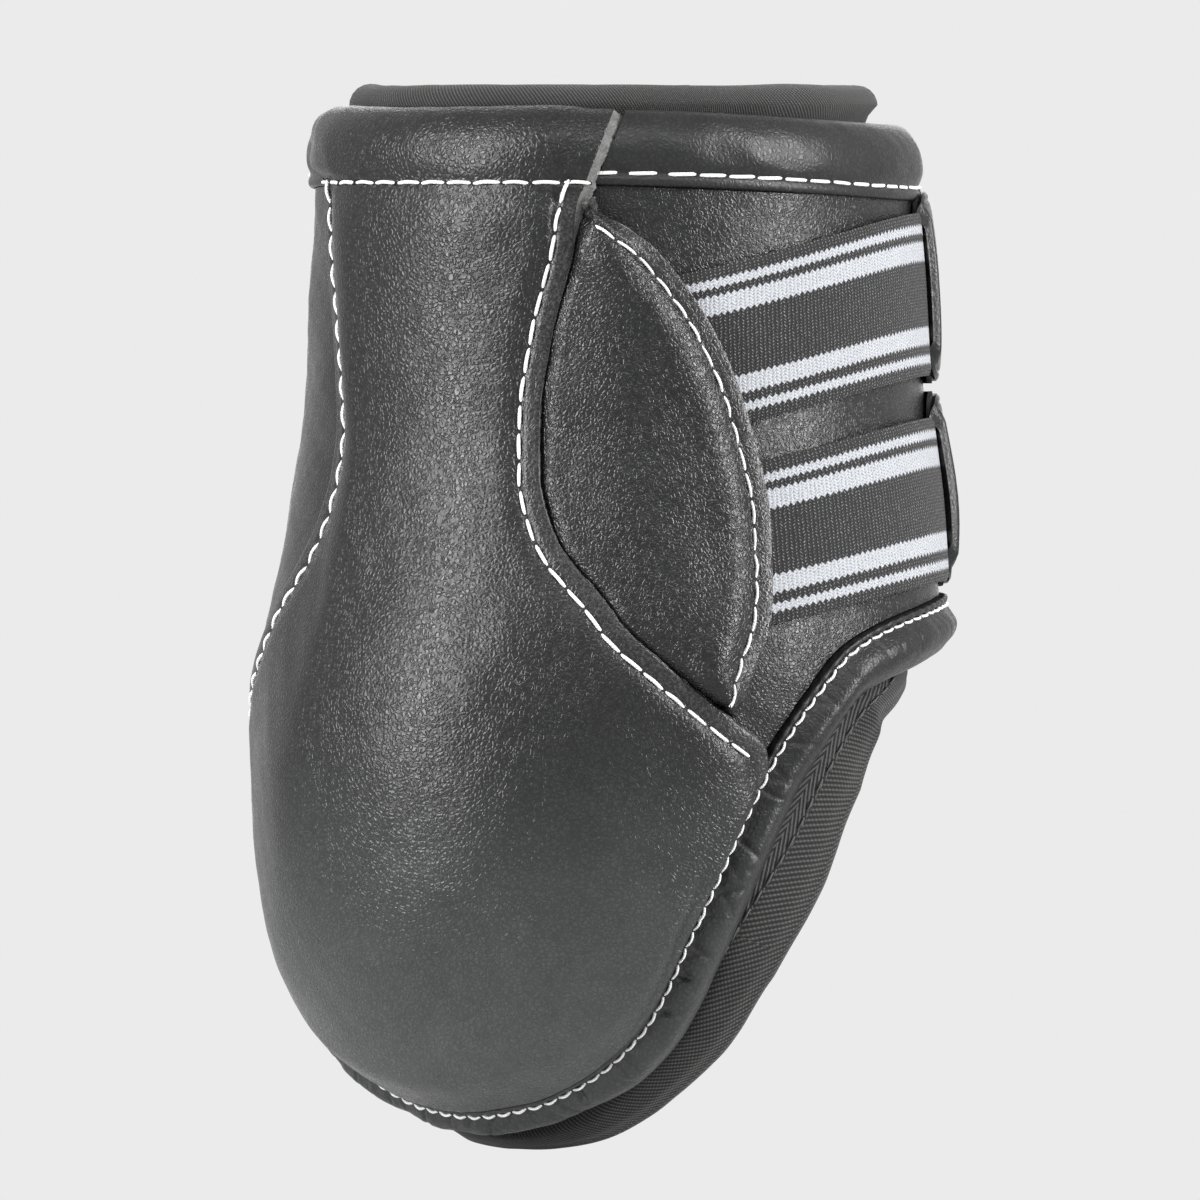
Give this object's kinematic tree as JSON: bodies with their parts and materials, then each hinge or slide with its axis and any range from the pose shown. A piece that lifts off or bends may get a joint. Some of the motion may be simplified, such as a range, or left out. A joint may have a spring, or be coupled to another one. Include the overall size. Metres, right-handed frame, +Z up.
{
  "type": "hind fetlock boot",
  "caption": "Leather horse boot for a hind fetlock: cupped back panel, soft liner, rolled collar and hem, and two striped elastic straps that close over the front.",
  "frame": {"origin": "on the leg's axis, at the level where the cup is fullest", "axes": "+Z up the leg, -Y toward the cup at the back of the leg, +Y toward the front opening, +X toward the side that carries the straps' roots"},
  "size_m": [0.1159, 0.1205, 0.1702],
  "materials": {
    "leather": "black pebble-grained leather, satin, with white stitching",
    "elastic": "black knitted elastic with two wide and two thin white stripes",
    "liner": "fine black woven cover over soft foam",
    "foam": "closed-cell foam, not seen",
    "plate": "moulded strike plate, not seen",
    "tape": "black herringbone tape",
    "hook_loop": "black hook-and-loop tape"
  },
  "bodies": {
    "shell": {"back_panel": "leather", "strike_plate": "plate", "lateral_wing_panel": "leather", "medial_wing_root": "leather", "medial_leaf": "leather", "medial_leaf_pad": "foam", "shell_foam": "foam", "back_liner_strip": "hook_loop", "lateral_liner_strip": "hook_loop", "shell_liner": "liner", "back_collar_cover": "leather", "back_collar_core": "foam", "lateral_collar_cover": "leather", "lateral_collar_core": "foam", "medial_collar_root_cover": "leather", "medial_collar_root_core": "foam", "shell_hem_cover": "leather", "shell_hem_core": "foam", "shell_hem_tape": "tape", "upper_strap_end": "elastic", "upper_loop_patch": "hook_loop", "lower_strap_end": "elastic", "lower_loop_patch": "hook_loop"},
    "medial_wing": {"medial_wing_panel": "leather", "medial_foam": "foam", "medial_liner": "liner", "medial_liner_strip": "hook_loop", "medial_collar_cover": "leather", "medial_collar_core": "foam", "medial_hem_cover": "leather", "medial_hem_core": "foam", "medial_hem_tape": "tape"},
    "upper_strap": {"upper_elastic": "elastic"},
    "upper_tab": {"upper_tab": "leather", "upper_hook_patch": "hook_loop"},
    "lower_strap": {"lower_elastic": "elastic"},
    "lower_tab": {"lower_tab": "leather", "lower_hook_patch": "hook_loop"}
  },
  "joints": [
    {"name": "medial_wing_flex", "type": "hinge", "parent": "shell", "child": "medial_wing", "pos_m": [0.05303, -0.02402, 0.05], "axis": [0, 0, -1], "range_deg": [0, 25], "stiffness_Nm_per_rad": 0.5},
    {"name": "upper_strap_swing", "type": "hinge", "parent": "medial_wing", "child": "upper_strap", "pos_m": [0.04781, -0.02093, 0.0691], "axis": [0, 0, -1], "range_deg": [0, 100]},
    {"name": "upper_tab_lift", "type": "hinge", "parent": "upper_strap", "child": "upper_tab", "pos_m": [0.04637, 0.02572, 0.0773], "axis": [0, 0, -1], "range_deg": [0, 100]},
    {"name": "lower_strap_swing", "type": "hinge", "parent": "medial_wing", "child": "lower_strap", "pos_m": [0.05301, -0.02315, 0.0361], "axis": [0, 0, -1], "range_deg": [0, 100]},
    {"name": "lower_tab_lift", "type": "hinge", "parent": "lower_strap", "child": "lower_tab", "pos_m": [0.04862, 0.02744, 0.0446], "axis": [0, 0, -1], "range_deg": [0, 100]}
  ]
}
